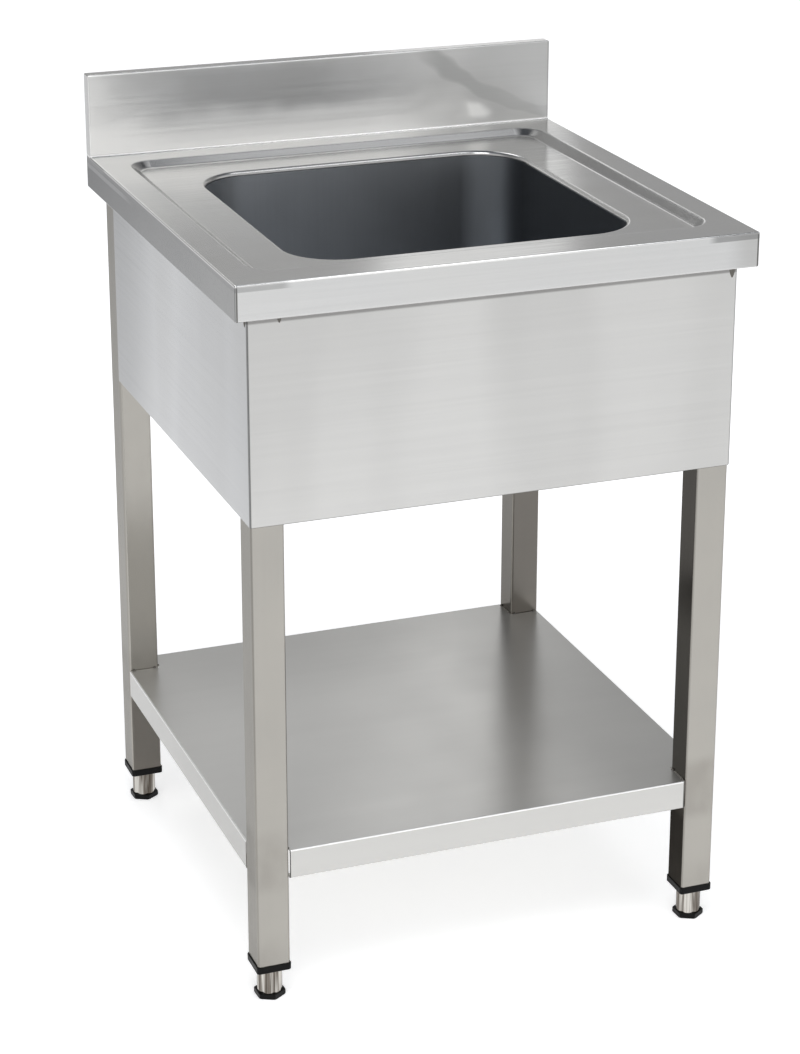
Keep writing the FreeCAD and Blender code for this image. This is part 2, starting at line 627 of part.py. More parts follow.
gasket_l = cyl(0, by, zg, ZSU, 57.0).cut(cyl(0, by, zg - 1, ZSU + 1, 46.5))
save("waste_gasket_lower", gasket_l)
OUT_R, OUT_RI = 23.9, 20.9           # G 1 1/2 outlet
OUT_Z0, OUT_Z1 = 500.0, 540.0
body = revolve(
    [
        (43.5, zg), (58.0, zg), (58.0, zg - 4.0), (56.5, zg - 5.0), (47.5, zg - 5.0),
        (46.5, zg - 6.0), (46.5, 556.0), (44.5, 551.0), (26.5, OUT_Z1 + 2.0), (OUT_R, OUT_Z1 - 1.0),
        (OUT_R, OUT_Z0 + 1.2), (OUT_R - 1.0, OUT_Z0), (OUT_RI, OUT_Z0), (OUT_RI, OUT_Z1),
        (42.0, 553.5), (43.5, 557.0),
    ],
    0, by,
)
zb_top = zf - 1.2
boss = cyl(0, by, 549.0, zb_top, 7.0)
for k in range(3):
    rib = box(0, -1.5, 552.0, 43.6, 1.5, zb_top - 3.0)
    rib.rotate(V(0, 0, 0), V(0, 0, 1), 120 * k + 90)
    rib.translate(V(0, by, 0))
    boss = boss.fuse(rib)
keep = revolve([(0, 545), (30, 545), (43.7, 556.0), (43.7, zb_top), (0, zb_top)], 0, by)
boss = boss.common(keep)
body = body.fuse(boss).cut(cyl(0, by, 540, zb_top + 1, 3.0)).removeSplitter()
save("waste_body", body)
screw = revolve(
    [(0, 551.0), (2.4, 551.0), (2.95, 551.6), (2.95, zf), (6.0, zf), (6.0, zf + 1.4), (5.0, zf + 2.4), (0, zf + 2.4)],
    0, by,
)
screw = screw.cut(box(-4.2, by - 0.6, zf + 1.0, 4.2, by + 0.6, zf + 4))
save("waste_screw", screw)

# Lift-out strainer: perforated cup, rubber seal under it, turned knob.
zb = zf + 3.0                        # underside of the basket
seal = cyl(0, by, zf, zb, 31.5).cut(cyl(0, by, zf - 1, zb + 1, 13.0))
save("basket_seal", seal)
bz = 0.8
cup = revolve(
    [
        (0, zb), (31.0, zb), (33.0, zb + 1.5), (36.6, zb + 16.4), (38.6, zb + 16.8), (38.9, zb + 17.6),
        (36.0, zb + 17.4), (32.3, zb + 2.0), (30.6, zb + bz), (0, zb + bz),
    ],
    0, by,
)
for ring, n, r in ((12.0, 8, 2.0), (19.0, 12, 2.0), (26.0, 18, 2.0)):
    for k in range(n):
        a = 2 * math.pi * (k + 0.5) / n
        cup = cup.cut(cyl(ring * math.cos(a), by + ring * math.sin(a), zb - 2, zb + 3, r))
for k in range(16):
    slot = box(28, -1.6, zb + 5.5, 42, 1.6, zb + 13.0)
    slot.rotate(V(0, 0, 0), V(0, 0, 1), 22.5 * k)
    slot.translate(V(0, by, 0))
    cup = cup.cut(slot)
cup = cup.cut(cyl(0, by, zb - 1, zb + 2, 3.5))
save("basket", cup)
knob = revolve(
    [
        (0, zb - 0.4), (3.5, zb - 0.4), (3.5, zb + bz), (5.5, zb + bz), (5.5, zb + 2.2), (3.2, zb + 3.4),
        (3.0, zb + 14.0), (5.0, zb + 17.0), (9.0, zb + 18.6), (9.6, zb + 20.4), (8.6, zb + 22.4),
        (5.0, zb + 23.6), (0, zb + 24.0),
    ],
    0, by,
)
save("basket_knob", knob)

whole = Part.makeCompound(list(made.values()))
bb = whole.BoundBox
print("nodes", len(made), "box", bb.XMin, bb.XMax, bb.YMin, bb.YMax, bb.ZMin, bb.ZMax)
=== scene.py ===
import math

import bmesh
import bpy
from mathutils import Matrix, Vector


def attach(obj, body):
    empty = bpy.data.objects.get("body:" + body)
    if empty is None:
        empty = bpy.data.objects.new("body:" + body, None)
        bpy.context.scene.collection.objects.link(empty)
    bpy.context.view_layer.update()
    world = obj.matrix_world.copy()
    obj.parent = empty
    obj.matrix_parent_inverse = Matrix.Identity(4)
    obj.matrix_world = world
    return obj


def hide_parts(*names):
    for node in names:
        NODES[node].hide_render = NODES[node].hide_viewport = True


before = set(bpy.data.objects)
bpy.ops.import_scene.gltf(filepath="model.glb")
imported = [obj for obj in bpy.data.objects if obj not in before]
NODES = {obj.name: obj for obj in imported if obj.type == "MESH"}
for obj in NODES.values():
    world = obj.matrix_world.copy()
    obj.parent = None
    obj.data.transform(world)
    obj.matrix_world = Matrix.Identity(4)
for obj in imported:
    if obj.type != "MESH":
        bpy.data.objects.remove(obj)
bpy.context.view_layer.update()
scene = bpy.context.scene


# ---------------------------------------------------------------- node helpers
def new_material(name):
    m = bpy.data.materials.new(name)
    m.use_nodes = True
    m.node_tree.nodes.clear()
    return m, m.node_tree


def node(tree, kind, **values):
    n = tree.nodes.new(kind)
    for k, v in values.items():
        if hasattr(n, k):
            setattr(n, k, v)
        else:
            n.inputs[k.replace("_", " ")].default_value = v
    return n


def coords(tree, scale=(1, 1, 1), rotation=(0, 0, 0), offset=(0, 0, 0)):
    tc = node(tree, "ShaderNodeTexCoord")
    mp = node(tree, "ShaderNodeMapping")
    mp.inputs["Scale"].default_value = scale
    mp.inputs["Rotation"].default_value = rotation
    mp.inputs["Location"].default_value = offset
    tree.links.new(tc.outputs["Object"], mp.inputs["Vector"])
    return mp.outputs["Vector"]


def split(tree, vector):
    n = node(tree, "ShaderNodeSeparateXYZ")
    tree.links.new(vector, n.inputs[0])
    return n.outputs[0], n.outputs[1], n.outputs[2]


def noise(tree, vector, scale, detail=4.0, rough=0.5, distortion=0.0):
    n = node(tree, "ShaderNodeTexNoise")
    n.inputs["Scale"].default_value = scale
    n.inputs["Detail"].default_value = detail
    n.inputs["Roughness"].default_value = rough
    n.inputs["Distortion"].default_value = distortion
    tree.links.new(vector, n.inputs["Vector"])
    return n.outputs["Fac"]


def remap(tree, value, a0, a1, b0, b1, smooth=False):
    n = node(tree, "ShaderNodeMapRange")
    if smooth:
        n.interpolation_type = "SMOOTHSTEP"
    n.inputs["From Min"].default_value = a0
    n.inputs["From Max"].default_value = a1
    n.inputs["To Min"].default_value = b0
    n.inputs["To Max"].default_value = b1
    tree.links.new(value, n.inputs["Value"])
    return n.outputs["Result"]


def math_node(tree, op, a, b=None, clamp=False):
    n = node(tree, "ShaderNodeMath")
    n.operation = op
    n.use_clamp = clamp
    for i, v in enumerate((a, b)):
        if v is None:
            continue
        if isinstance(v, (int, float)):
            n.inputs[i].default_value = v
        else:
            tree.links.new(v, n.inputs[i])
    return n.outputs[0]


def mix_color(tree, fac, a, b, blend="MIX"):
    n = node(tree, "ShaderNodeMix")
    n.data_type = "RGBA"
    n.blend_type = blend
    for sock, v in ((n.inputs[0], fac), (n.inputs[6], a), (n.inputs[7], b)):
        if isinstance(v, (int, float)):
            sock.default_value = v
        elif isinstance(v, tuple):
            sock.default_value = (*v, 1.0) if len(v) == 3 else v
        else:
            tree.links.new(v, sock)
    return n.outputs[2]


def bump(tree, height, strength, distance, normal=None):
    n = node(tree, "ShaderNodeBump")
    n.inputs["Strength"].default_value = strength
    n.inputs["Distance"].default_value = distance
    tree.links.new(height, n.inputs["Height"])
    if normal is not None:
        tree.links.new(normal, n.inputs["Normal"])
    return n.outputs["Normal"]


def band(tree, value, a, b, soft):
    """1 between a and b, falling to 0 over soft on both sides."""
    up = remap(tree, value, a - soft, a, 0.0, 1.0, True)
    down = remap(tree, value, b, b + soft, 1.0, 0.0, True)
    return math_node(tree, "MULTIPLY", up, down)


# ------------------------------------------------------------------- materials
def steel(name, color=(0.60, 0.597, 0.585), rough=(0.15, 0.23), brush="X", smear=(0, 1, 0),
          aniso=0.45, brush_bump=0.000003, wave=0.00010, wave_scale=4.0, tint=(0.55, 0.56, 0.58),
          tint_amount=0.30, seed=0.0, marks=None, cloud_scale=7.0, contrast=1.0, rough_marks=None, edge=1.0, metal=1.0, fine=2.5):
    """Satin stainless sheet: fine lines one way, soft cloudy variation, slightly wavy.
    marks(tree, colour) paints weld stains, and painted shade and painted highlights on seams, edges, bends and faces."""
    m, t = new_material(name)
    out = node(t, "ShaderNodeOutputMaterial")
    p = node(t, "ShaderNodeBsdfPrincipled")
    p.inputs["Metallic"].default_value = metal
    p.inputs["Anisotropic"].default_value = aniso
    p.inputs["Specular Tint"].default_value = (edge, edge, edge, 1.0)
    long_axis = {"X": (3.0, 260.0, 260.0), "Y": (260.0, 3.0, 260.0), "Z": (260.0, 260.0, 3.0)}[brush]
    lines = noise(t, coords(t, long_axis, offset=(seed, seed, seed)), 1.0, fine, 0.6)
    coarse_axis = tuple(v * 0.16 if v > 100 else v * 0.5 for v in long_axis)
    bands = noise(t, coords(t, coarse_axis, offset=(seed, 3 + seed, seed)), 1.0, 3.0, 0.5)
    clouds = noise(t, coords(t, (1, 1, 1), offset=(seed, seed, 7 + seed)), cloud_scale, 4.0, 0.55)
    r = math_node(t, "ADD", remap(t, lines, 0.3, 0.7, rough[0], rough[1]),
                  remap(t, clouds, 0.3, 0.7, -0.02, 0.03))
    if rough_marks:
        r = rough_marks(t, r)
    t.links.new(r, p.inputs["Roughness"])
    col = mix_color(t, remap(t, clouds, 0.35, 0.75, 0.0, tint_amount), color, tint)
    col = mix_color(t, remap(t, lines, 0.3, 0.7, 0.0, 0.10 * contrast), col, tuple(0.67 * v for v in color))
    col = mix_color(t, remap(t, bands, 0.35, 0.7, 0.0, 0.08), col, tuple(0.75 * v for v in color))
    if marks:
        col = marks(t, col)
    t.links.new(col, p.inputs["Base Color"])
    big = noise(t, coords(t, (1, 1, 1), offset=(11 + seed, seed, seed)), wave_scale, 1.5, 0.4)
    n1 = bump(t, big, 1.0, wave)
    n2 = bump(t, lines, 1.0, brush_bump, n1)
    t.links.new(n2, p.inputs["Normal"])
    tan = node(t, "ShaderNodeCombineXYZ")
    for i, v in enumerate(smear):
        tan.inputs[i].default_value = v
    t.links.new(tan.outputs[0], p.inputs["Tangent"])
    t.links.new(p.outputs[0], out.inputs["Surface"])
    return m


def plastic(name, color, rough=0.35, grain=0.00002, spec=0.5):
    m, t = new_material(name)
    out = node(t, "ShaderNodeOutputMaterial")
    p = node(t, "ShaderNodeBsdfPrincipled")
    p.inputs["Specular IOR Level"].default_value = spec
    v = coords(t)
    g = noise(t, v, 900.0, 3.0, 0.6)
    c = noise(t, v, 40.0, 3.0, 0.6)
    t.links.new(remap(t, c, 0.3, 0.7, rough - 0.06, rough + 0.10), p.inputs["Roughness"])
    t.links.new(mix_color(t, remap(t, c, 0.35, 0.7, 0.0, 0.35), color, tuple(min(1, k * 1.8) for k in color)),
                p.inputs["Base Color"])
    t.links.new(bump(t, g, 1.0, grain), p.inputs["Normal"])
    t.links.new(p.outputs[0], out.inputs["Surface"])
    return m


def polished(name, streak=(0.10, 0.085, 0.07)):
    """Turned and polished steel sleeve with dark brownish streaks along its length."""
    m, t = new_material(name)
    out = node(t, "ShaderNodeOutputMaterial")
    p = node(t, "ShaderNodeBsdfPrincipled")
    p.inputs["Metallic"].default_value = 1.0
    p.inputs["Roughness"].default_value = 0.12
    v = noise(t, coords(t, (130.0, 130.0, 5.0)), 1.0, 3.0, 0.6)
    f = noise(t, coords(t, (420.0, 420.0, 9.0), offset=(4, 1, 2)), 1.0, 3.0, 0.6)
    col = mix_color(t, remap(t, v, 0.44, 0.56, 0.0, 1.0), (0.60, 0.58, 0.54), streak)
    col = mix_color(t, remap(t, f, 0.45, 0.65, 0.0, 0.5), col, (0.30, 0.27, 0.24))
    t.links.new(col, p.inputs["Base Color"])
    t.links.new(bump(t, v, 1.0, 0.0006), p.inputs["Normal"])
    t.links.new(p.outputs[0], out.inputs["Surface"])
    return m


def top_marks(t, col):
    """Polished weld lines at the folded corners of the worktop, plus painted highlights and painted shade on its
    edges, upstand, recess step and rolled edge.
    """
    x, y, z = split(t, coords(t))
    ax = math_node(t, "ABSOLUTE", x)
    low = remap(t, z, 0.8465, 0.8495, 1.0, 0.0, True)
    front = remap(t, y, -0.290, -0.295, 0.0, 1.0)
    seam = math_node(t, "MULTIPLY", band(t, ax, 0.2974, 0.2986, 0.0005), math_node(t, "MULTIPLY", low, front))
    # painted highlights on the bends, painted shade at the right end of the front edge
    bright = (0.97, 0.965, 0.95)
    edge_x = math_node(t, "MULTIPLY", remap(t, ax, 0.2978, 0.2986, 0.0, 1.0, True), remap(t, z, 0.8470, 0.8482, 0.0, 1.0, True))
    edge_x = math_node(t, "MULTIPLY", edge_x, remap(t, z, 0.8505, 0.8515, 1.0, 0.0))
    edge_y = math_node(t, "MULTIPLY", remap(t, y, -0.2972, -0.2982, 0.0, 1.0, True), remap(t, z, 0.8472, 0.8484, 0.0, 1.0, True))
    edge_y = math_node(t, "MULTIPLY", edge_y, remap(t, x, -0.05, 0.20, 0.8, 0.15, True))
    edges = math_node(t, "MAXIMUM", edge_x, edge_y)
    # painted highlight along the top bends
    col = mix_color(t, math_node(t, "MULTIPLY", edges, 0.9), col, bright)
    # painted shade: the right end of the front edge is darker
    painted_shade_tone = math_node(t, "MULTIPLY", math_node(t, "MULTIPLY", front, low), remap(t, x, 0.255, 0.292, 0.0, 0.45, True))
    col = mix_color(t, painted_shade_tone, col, (0.36, 0.355, 0.34))
    col = mix_color(t, math_node(t, "MULTIPLY", seam, 0.9), col, (0.10, 0.097, 0.09))
    # painted shade on the rounded ends of the upstand
    up = remap(t, z, 0.851, 0.853, 0.0, 1.0)
    end = math_node(t, "MULTIPLY", band(t, ax, 0.2978, 0.2988, 0.0006), math_node(t, "MULTIPLY", up, remap(t, y, 0.284, 0.283, 0.0, 1.0)))
    col = mix_color(t, math_node(t, "MULTIPLY", end, 0.5), col, (0.20, 0.20, 0.19))
    face = math_node(t, "MULTIPLY", up, band(t, y, 0.2815, 0.2825, 0.0003))
    # painted reflections on the upstand: soft painted light towards the bottom and in one spot, painted shade in two
    # soft blotches, a slanted streak and towards the right end
    soft = noise(t, coords(t, (9, 9, 14), offset=(2, 5, 3)), 1.0, 2.0, 0.5)
    zz = math_node(t, "ADD", z, remap(t, soft, 0.3, 0.7, -0.010, 0.010))
    xx = math_node(t, "ADD", x, remap(t, soft, 0.3, 0.7, -0.03, 0.03))
    upstand_painted_light = math_node(t, "MULTIPLY", remap(t, zz, 0.912, 0.880, 0.0, 1.0, True), remap(t, xx, 0.10, 0.26, 0.92, 0.20, True))
    upstand_painted_light = math_node(t, "MAXIMUM", upstand_painted_light, remap(t, xx, -0.22, -0.29, 0.0, 0.7, True))
    upstand_painted_spot = math_node(t, "MULTIPLY", band(t, xx, 0.212, 0.226, 0.020), band(t, zz, 0.870, 0.880, 0.014))
    upstand_painted_light = math_node(t, "MAXIMUM", upstand_painted_light, math_node(t, "MULTIPLY", upstand_painted_spot, 0.8))
    upstand_painted_blot = math_node(t, "MULTIPLY", band(t, xx, -0.14, 0.00, 0.09), band(t, zz, 0.912, 0.938, 0.022))
    slant = math_node(t, "ADD", zz, math_node(t, "MULTIPLY", x, 0.50))
    streak = math_node(t, "MULTIPLY", band(t, slant, 1.000, 1.010, 0.014), remap(t, x, 0.10, 0.16, 0.0, 1.0, True))
    # painted shade on the upstand
    dull = math_node(t, "MAXIMUM", math_node(t, "MULTIPLY", upstand_painted_blot, 0.30), remap(t, xx, 0.04, 0.27, 0.0, 0.50, True))
    dull = math_node(t, "MAXIMUM", dull, math_node(t, "MULTIPLY", streak, 0.62))
    dull = math_node(t, "MULTIPLY", dull, math_node(t, "SUBTRACT", 1.0, math_node(t, "MULTIPLY", upstand_painted_spot, 0.8)))
    col = mix_color(t, math_node(t, "MULTIPLY", face, upstand_painted_light), col, (0.84, 0.835, 0.82))
    col = mix_color(t, math_node(t, "MULTIPLY", face, dull), col, (0.25, 0.25, 0.247))
    # painted shade on the left folded edge, darker towards the rear
    le = math_node(t, "MULTIPLY", remap(t, x, -0.2989, -0.2997, 0.0, 1.0, True), remap(t, z, 0.8460, 0.8490, 1.0, 0.0, True))
    left_edge_shade = math_node(t, "ADD", remap(t, y, -0.30, 0.05, 0.62, 0.80), remap(t, y, 0.05, 0.30, 0.0, 0.16))
    col = mix_color(t, math_node(t, "MULTIPLY", le, left_edge_shade), col, (0.03, 0.03, 0.032))
    # painted shade on the pressed step of the recess at the sides and rear corners, and on the rear of the bowl's
    # rolled edge
    step = band(t, z, 0.8426, 0.8492, 0.0005)
    step_shade = math_node(t, "MAXIMUM", remap(t, x, 0.236, 0.250, 0.0, 0.60, True), remap(t, x, -0.236, -0.250, 0.0, 0.40, True))
    ax2 = remap(t, ax, 0.232, 0.244, 0.0, 1.0, True)
    corner = math_node(t, "MULTIPLY", ax2, remap(t, y, 0.205, 0.225, 0.0, 0.86, True))
    step_shade = math_node(t, "MAXIMUM", step_shade, corner)
    step_shade = math_node(t, "MAXIMUM", step_shade, remap(t, y, 0.225, 0.235, 0.0, 0.34, True))
    col = mix_color(t, math_node(t, "MULTIPLY", step, step_shade), col, (0.16, 0.16, 0.16))
    # painted shade that thins the highlight on the rear of the rolled edge
    roll_shade = math_node(t, "MULTIPLY", remap(t, z, 0.8419, 0.8414, 0.0, 0.70), remap(t, y, 0.08, 0.15, 0.0, 1.0, True))
    roll_shade = math_node(t, "MULTIPLY", roll_shade, remap(t, z, 0.8355, 0.8365, 0.0, 1.0))
    return mix_color(t, roll_shade, col, (0.24, 0.24, 0.24))


def top_rough(t, r):
    """The upstand is rubbed duller than the flat top."""
    x, y, z = split(t, coords(t))
    face = math_node(t, "MULTIPLY", remap(t, z, 0.851, 0.853, 0.0, 1.0), remap(t, y, 0.284, 0.283, 0.0, 1.0))
    return math_node(t, "ADD", r, math_node(t, "MULTIPLY", face, 0.17))


def panel_marks(t, col):
    """Painted shade in the gap under the worktop edge, at the open corner seams, along the bottom fold and on the side
    panels towards the rear.
    """
    x, y, z = split(t, coords(t))
    ax = math_node(t, "ABSOLUTE", x)
    veil = noise(t, coords(t, (6.5, 6.5, 1.3), offset=(1.7, 4.2, 0.6)), 1.0, 2.0, 0.45)
    col = mix_color(t, remap(t, veil, 0.40, 0.64, 0.0, 0.27, True), col, (0.36, 0.357, 0.35))
    # painted shade on the side panels, strongest towards the rear
    painted_shade_tone = math_node(t, "MULTIPLY", remap(t, x, -0.2820, -0.2826, 0.0, 1.0), math_node(t, "ADD", remap(t, y, 0.02, -0.27, 0.13, 0.245, True), remap(t, y, 0.0, 0.24, 0.0, 0.50, True)))
    col = mix_color(t, painted_shade_tone, col, (0.12, 0.122, 0.125))
    gap = remap(t, z, 0.8005, 0.8030, 0.0, 1.0, True)
    col = mix_color(t, math_node(t, "MULTIPLY", gap, 0.62), col, (0.12, 0.115, 0.11))
    # painted shade along the bottom fold
    foot = remap(t, z, 0.5768, 0.5757, 0.0, 1.0, True)
    col = mix_color(t, math_node(t, "MULTIPLY", foot, 0.55), col, (0.14, 0.14, 0.13))
    # painted shade in the open corner seam
    side = remap(t, ax, 0.2806, 0.2816, 0.0, 1.0, True)
    front = remap(t, y, -0.280, -0.2815, 0.0, 1.0)
    return mix_color(t, math_node(t, "MULTIPLY", math_node(t, "MULTIPLY", side, front), 0.6), col, (0.10, 0.10, 0.095))


def bowl_marks(t, col):
    """Painted shade: the bowl darkens from left to right, and the right wall, which stands in its own shade, is
    painted darker still.
    """
    x, y, z = split(t, coords(t))
    # painted shade growing towards the right
    side = remap(t, x, -0.16, 0.19, 0.0, 1.0, True)
    col = mix_color(t, math_node(t, "MULTIPLY", side, 0.45), col, (0.16, 0.17, 0.185))
    # painted shade on the right wall
    wall = remap(t, x, 0.185, 0.199, 0.0, 1.0, True)
    return mix_color(t, math_node(t, "MULTIPLY", wall, 0.72), col, (0.05, 0.053, 0.06))


def bowl_rough(t, r):
    x, y, z = split(t, coords(t))
    return math_node(t, "ADD", r, remap(t, y, -0.185, -0.214, 0.0, 0.34, True))


def leg_marks(t, col):
    """Painted shade on the inner faces, which stand in the shade of the sink and shelf, on the rear right leg's front
    face and along the bends; cloudy brownish darkening near the shelf joints and feet.
    """
    x, y, z = split(t, coords(t))
    ax = math_node(t, "ABSOLUTE", x)
    back = remap(t, y, 0.0, 0.01, 0.0, 1.0)
    right = remap(t, x, 0.0, 0.01, 0.0, 1.0)
    # painted shade on the inner faces, strongest under the shelf and towards the top
    inner = remap(t, ax, 0.2446, 0.2441, 0.0, 1.0)
    under = remap(t, z, 0.145, 0.158, 1.0, 0.0, True)
    face = band(t, y, 0.2465, 0.2474, 0.0003)
    high = math_node(t, "MULTIPLY", remap(t, z, 0.36, 0.44, 0.0, 0.33, True), remap(t, back, 0.0, 1.0, 1.0, 0.3))
    shade = math_node(t, "MULTIPLY", inner, math_node(t, "ADD", remap(t, under, 0.0, 1.0, 0.58, 0.97), high, True))
    col = mix_color(t, shade, col, (0.030, 0.026, 0.022))
    # painted shade on the front face of the rear right leg
    rr = math_node(t, "MULTIPLY", face, math_node(t, "MAXIMUM", math_node(t, "MULTIPLY", right, 0.72), math_node(t, "MULTIPLY", under, 0.72)))
    col = mix_color(t, rr, col, (0.055, 0.047, 0.040))
    # painted shade along the bends of the front faces
    fy_ = remap(t, y, -0.2788, -0.2797, 0.0, 1.0, True)
    ex = math_node(t, "MAXIMUM", remap(t, ax, 0.2796, 0.2808, 0.0, 1.0, True), remap(t, ax, 0.2464, 0.2452, 0.0, 1.0, True))
    bend = math_node(t, "MULTIPLY", math_node(t, "MULTIPLY", fy_, ex), 0.35)
    col = mix_color(t, bend, col, (0.12, 0.112, 0.10))
    # dull zones near the shelf joints and feet
    cloud = noise(t, coords(t, (14, 14, 9), offset=(3, 9, 1)), 1.0, 3.0, 0.6)
    zone = band(t, z, 0.150, 0.200, 0.02)
    low = remap(t, z, 0.09, 0.045, 0.0, 1.0, True)
    dull = math_node(t, "MULTIPLY", math_node(t, "MAXIMUM", zone, low), remap(t, cloud, 0.35, 0.7, 0.0, 0.35))
    return mix_color(t, dull, col, (0.17, 0.155, 0.135))


def leg_rough(t, r):
    x, y, z = split(t, coords(t))
    inner = remap(t, math_node(t, "ABSOLUTE", x), 0.2446, 0.2441, 0.0, 1.0)
    return math_node(t, "ADD", r, math_node(t, "MULTIPLY", inner, remap(t, z, 0.145, 0.158, 0.6, 0.0, True)))


def shelf_marks(t, col):
    """Painted shade on the folded front and left edges and towards the rear and right of the flat, a painted highlight
    along the top bends, and painted shade in the gaps at the legs.
    """
    x, y, z = split(t, coords(t))
    low = remap(t, z, 0.1845, 0.1855, 1.0, 0.0, True)
    fr = math_node(t, "MULTIPLY", remap(t, y, -0.236, -0.240, 0.0, 0.27), low)
    lf = math_node(t, "MULTIPLY", remap(t, x, -0.2765, -0.278, 0.0, 0.52), low)
    # painted shade towards the rear and right of the flat
    flat = math_node(t, "MAXIMUM", remap(t, y, 0.05, 0.26, 0.0, 0.20, True), remap(t, x, 0.06, 0.20, 0.0, 0.24, True))
    flat = math_node(t, "MULTIPLY", flat, remap(t, low, 0.0, 1.0, 1.0, 0.0))
    col = mix_color(t, math_node(t, "MAXIMUM", flat, math_node(t, "MAXIMUM", fr, lf)), col, (0.20, 0.197, 0.188))
    # painted highlight along the top bends
    bend = math_node(t, "MAXIMUM", remap(t, y, -0.2798, -0.2805, 0.0, 1.0, True), remap(t, x, -0.2798, -0.2805, 0.0, 1.0, True))
    bend = math_node(t, "MULTIPLY", bend, remap(t, z, 0.1841, 0.1847, 0.0, 0.95, True))
    col = mix_color(t, bend, col, (0.99, 0.985, 0.97))
    # painted shade in the gaps next to the legs
    end = math_node(t, "MULTIPLY", band(t, math_node(t, "ABSOLUTE", x), 0.2420, 0.2450, 0.0004), remap(t, y, -0.2795, -0.2805, 0.0, 0.88))
    return mix_color(t, end, col, (0.05, 0.05, 0.047))


LEG_COL = (0.395, 0.378, 0.346)
M = {
    "top": steel("steel_top", color=(0.62, 0.617, 0.605), brush="X", smear=(0, 1, 1), marks=top_marks, rough_marks=top_rough, brush_bump=0.0000018, wave=0.00007, wave_scale=3.0),
    "bowl": steel("steel_bowl", color=(0.54, 0.56, 0.585), brush="Z", smear=(1, 1, 0), rough=(0.34, 0.37), aniso=0.0,
                  brush_bump=0.0000002, tint=(0.46, 0.48, 0.51), wave=0.0002, wave_scale=4.0, marks=bowl_marks,
                  rough_marks=bowl_rough),
    "panel": steel("steel_panel", color=(0.60, 0.594, 0.578), tint=(0.56, 0.558, 0.55), brush="X", smear=(0, 0, 1), seed=3.1, brush_bump=0.0000012, contrast=0.5, marks=panel_marks),
    "side": steel("steel_side", color=(0.595, 0.598, 0.602), brush="Y", smear=(0, 0, 1), seed=5.7, brush_bump=0.0000008, contrast=0.4, marks=panel_marks),
    "shelf": steel("steel_shelf", color=(0.72, 0.712, 0.688), brush="X", smear=(0, 1, 1), seed=8.3, rough=(0.305, 0.315), metal=0.88, brush_bump=0.0000001, contrast=0.06, wave=0.00005, fine=1.5, marks=shelf_marks, tint=(0.66, 0.654, 0.635)),
    "leg": steel("steel_leg", brush="Z", smear=(1, 1, 0), color=LEG_COL, tint=(0.335, 0.325, 0.305), seed=2.2, cloud_scale=12.0, rough=(0.20, 0.23),
                 brush_bump=0.0000003, contrast=0.3, edge=0.6, marks=leg_marks, rough_marks=leg_rough),
    "bright": steel("steel_bright", brush="Z", smear=(1, 1, 0), rough=(0.06, 0.12), aniso=0.2, brush_bump=0.000001, seed=1.2),
    "mill": steel("steel_mill", color=(0.5, 0.5, 0.49), rough=(0.35, 0.5), brush="X", seed=4.4),
    "zinc": steel("steel_zinc", color=(0.55, 0.55, 0.52), rough=(0.31, 0.42), brush="Z", smear=(1, 1, 0), seed=6.4),
    "weld": steel("steel_weld", color=(0.15, 0.142, 0.128), rough=(0.35, 0.5), brush="X", seed=9.4, tint=(0.10, 0.095, 0.085)),
    "sleeve": polished("steel_sleeve"),
    "black": plastic("plastic_black", (0.0015, 0.0015, 0.0015), 0.42, spec=0.14),
    "white": plastic("plastic_waste", (0.62, 0.62, 0.60), 0.4),
    "rubber": plastic("rubber", (0.02, 0.02, 0.02), 0.6, spec=0.3),
}

LOOK = {
    "worktop": "top", "bowl": "bowl", "front_panel": "panel", "left_panel": "side", "right_panel": "side",
    "rear_rail": "mill", "rail_screws": "zinc", "top_studs": "zinc", "top_washers": "zinc", "top_nuts": "zinc",
    "shelf": "shelf", "shelf_stiffener": "mill", "shelf_tack_welds": "weld", "apron_tack_welds": "weld",
    "waste_gasket_upper": "rubber", "waste_gasket_lower": "rubber", "basket_seal": "rubber",
    "waste_flange": "bright", "waste_screw": "bright", "basket": "bright", "basket_knob": "bright",
    "waste_body": "white",
}
for k in ("fl", "fr", "rl", "rr"):
    LOOK["leg_" + k] = "leg"
    LOOK["corner_plate_" + k] = "mill"
    LOOK["foot_insert_" + k] = "black"
    LOOK["foot_nut_" + k] = "zinc"
    LOOK["foot_sleeve_" + k] = "sleeve"
    LOOK["foot_base_" + k] = "black"
    LOOK["foot_spindle_" + k] = "zinc"
for name, o in NODES.items():
    o.data.materials.clear()
    o.data.materials.append(M[LOOK[name]])


# ------------------------------------------------- smooth worktop and bowl sheet
def ring(cx, cy, hx, hy, r, z, n=20, side=8):
    """Rounded rectangle, anticlockwise from the right end of the +Y side, in millimetres."""
    pts = []
    cs = [(cx + hx - r, cy + hy - r), (cx - hx + r, cy + hy - r), (cx - hx + r, cy - hy + r), (cx + hx - r, cy - hy + r)]
    for k in range(4):
        a0 = 90.0 * k
        for i in range(n + 1):
            a = math.radians(a0 + 90.0 * i / n)
            pts.append((cs[k][0] + r * math.cos(a), cs[k][1] + r * math.sin(a), z))
        a = math.radians(a0 + 90.0)
        q = cs[(k + 1) % 4]
        q = (q[0] + r * math.cos(a), q[1] + r * math.sin(a))
        p = pts[-1]
        for j in range(1, side):
            f = j / side
            pts.append((p[0] + (q[0] - p[0]) * f, p[1] + (q[1] - p[1]) * f, z))
    return pts


def put(bm, pts):
    return [bm.verts.new((x / 1000.0, y / 1000.0, z / 1000.0)) for x, y, z in pts]


def bridge(bm, a, b):
    for i in range(len(a)):
        j = (i + 1) % len(a)
        bm.faces.new((a[i], a[j], b[j], b[i]))


